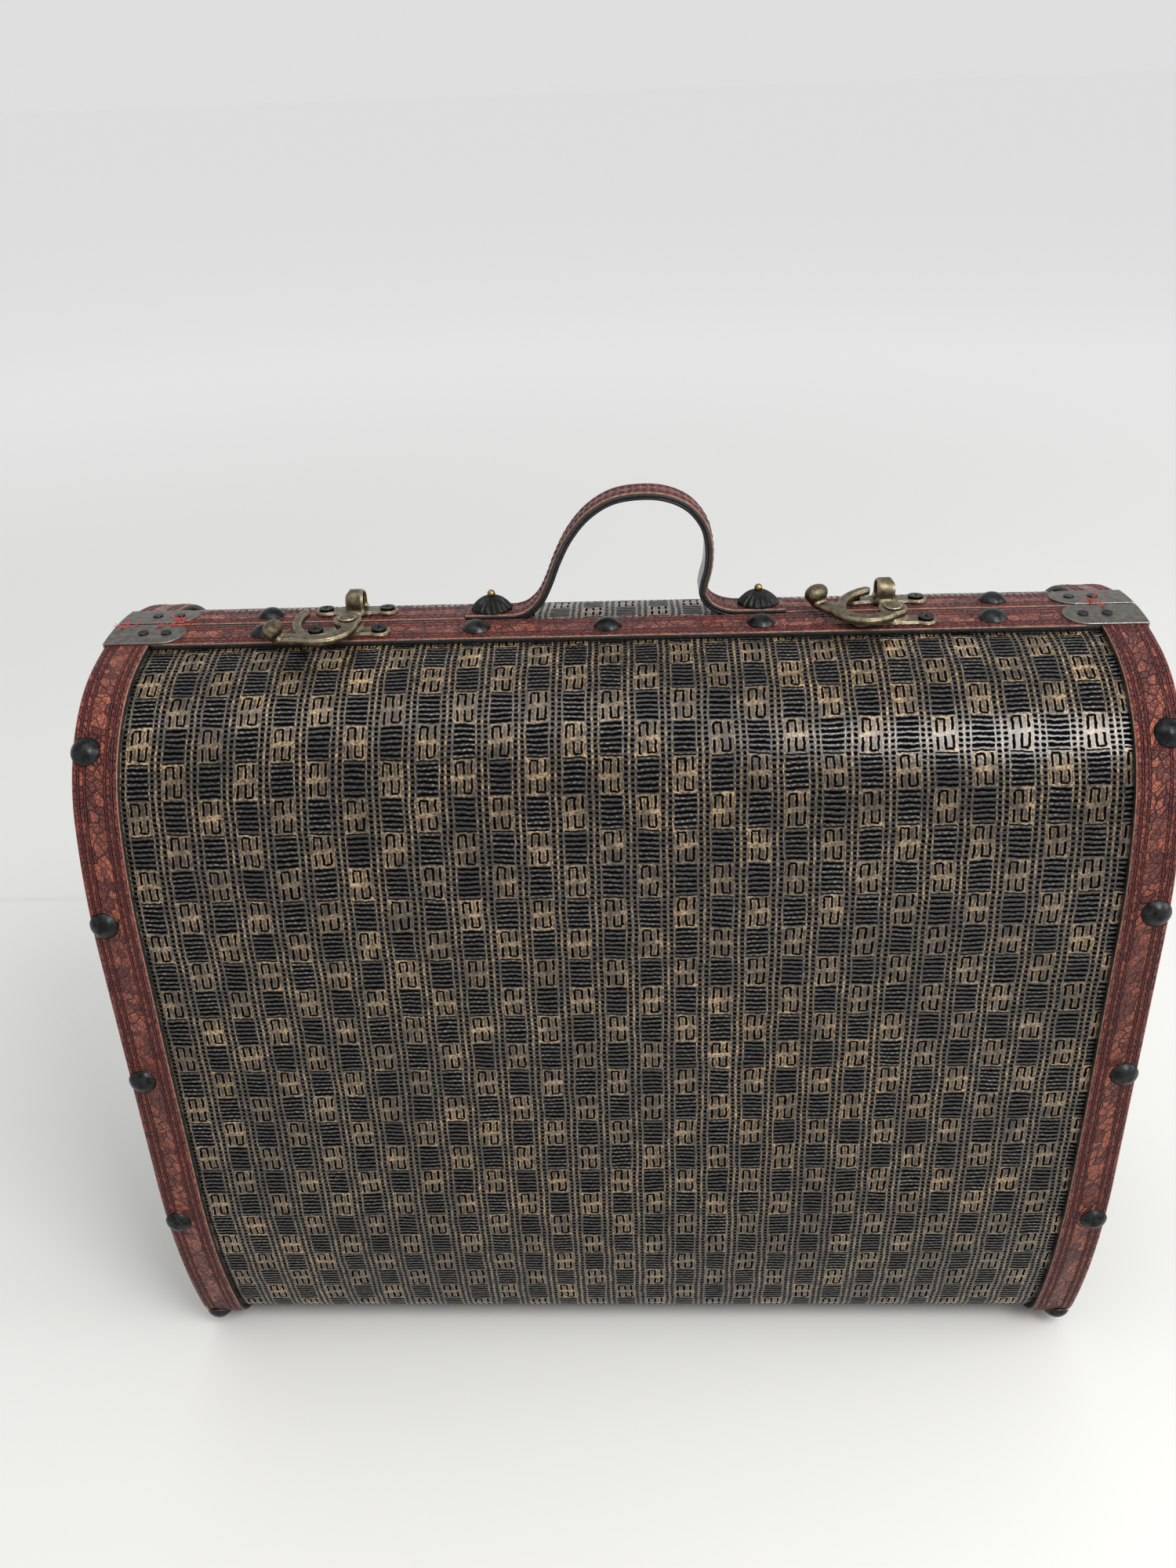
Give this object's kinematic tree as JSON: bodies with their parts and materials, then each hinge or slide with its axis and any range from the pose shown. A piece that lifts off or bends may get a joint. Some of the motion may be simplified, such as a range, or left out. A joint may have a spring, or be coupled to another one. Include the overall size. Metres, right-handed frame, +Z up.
{
  "type": "vintage suitcase",
  "caption": "Vintage-style clamshell suitcase in embossed dark cloth with red leatherette straps, domed nails, swan-hook latches, a strap handle and hinges under the base.",
  "frame": {"origin": "middle of the part's box, on the plane of the strap pads that it stands on", "axes": "+X to the right along the rim, -Y to the front where the lid is, +Z up"},
  "size_m": [0.3964, 0.1714, 0.3724],
  "materials": {
    "board": "raw fibreboard",
    "batten_wood": "sawn softwood",
    "cloth": "dark embossed cover cloth with a rubbed tan weave",
    "black_leather": "glossy black strap lining",
    "lining_paper": "plain lining",
    "red_leather": "brick-red embossed leatherette with stitched edges",
    "gunmetal": "dark domed steel",
    "bracket_steel": "dull folded sheet",
    "black_screws": "black",
    "brass": "bright pin heads",
    "hinge_steel": "plain butt hinges",
    "bronze": "antique bronze with bright worn edges"
  },
  "bodies": {
    "base": {"back_left_end_panel": "board", "back_right_end_panel": "board", "back_wrap_panel": "board", "back_wrap_cover": "cloth", "back_left_end_cover": "cloth", "back_left_strap": "red_leather", "back_right_end_cover": "cloth", "back_right_strap": "red_leather", "back_rim_strap": "red_leather", "back_rim_batten": "batten_wood", "back_hinge_batten": "batten_wood", "back_lining": "lining_paper", "back_left_bracket": "bracket_steel", "back_right_bracket": "bracket_steel", "back_bracket_tacks": "bracket_steel", "back_strap_nails": "gunmetal", "back_rim_nails": "gunmetal", "left_keeper": "bronze", "right_keeper": "bronze", "keeper_screws": "black_screws", "handle_strap": "red_leather", "handle_lining": "black_leather", "handle_rosettes": "gunmetal", "handle_pins": "brass", "left_hinge_base_leaf": "hinge_steel", "right_hinge_base_leaf": "hinge_steel", "left_hinge_pin": "hinge_steel", "right_hinge_pin": "hinge_steel", "hinge_base_screws": "black_screws"},
    "lid": {"front_left_end_panel": "board", "front_right_end_panel": "board", "front_wrap_panel": "board", "front_wrap_cover": "cloth", "front_left_end_cover": "cloth", "front_left_strap": "red_leather", "front_right_end_cover": "cloth", "front_right_strap": "red_leather", "front_rim_strap": "red_leather", "front_rim_batten": "batten_wood", "front_hinge_batten": "batten_wood", "front_lining": "lining_paper", "front_left_bracket": "bracket_steel", "front_right_bracket": "bracket_steel", "front_bracket_tacks": "bracket_steel", "front_strap_nails": "gunmetal", "front_rim_nails": "gunmetal", "left_hook_plate": "bronze", "left_rivet": "bronze", "right_hook_plate": "bronze", "right_rivet": "bronze", "hook_plate_screws": "black_screws", "left_hinge_lid_leaf": "hinge_steel", "right_hinge_lid_leaf": "hinge_steel", "hinge_lid_screws": "black_screws"},
    "left_hook": {"left_hook": "bronze"},
    "right_hook": {"right_hook": "bronze"}
  },
  "joints": [
    {"name": "lid_hinge", "type": "hinge", "parent": "base", "child": "lid", "pos_m": [0, 0, 0.0024], "axis": [1, 0, 0], "range_deg": [0, 105]},
    {"name": "left_hook_pivot", "type": "hinge", "parent": "lid", "child": "left_hook", "pos_m": [-0.104, -0.00939, 0.32769], "axis": [0, -0.0657, 0.9978], "range_deg": [-85, 5]},
    {"name": "right_hook_pivot", "type": "hinge", "parent": "lid", "child": "right_hook", "pos_m": [0.104, -0.00939, 0.32769], "axis": [0, -0.0657, 0.9978], "range_deg": [-40, 50]}
  ]
}
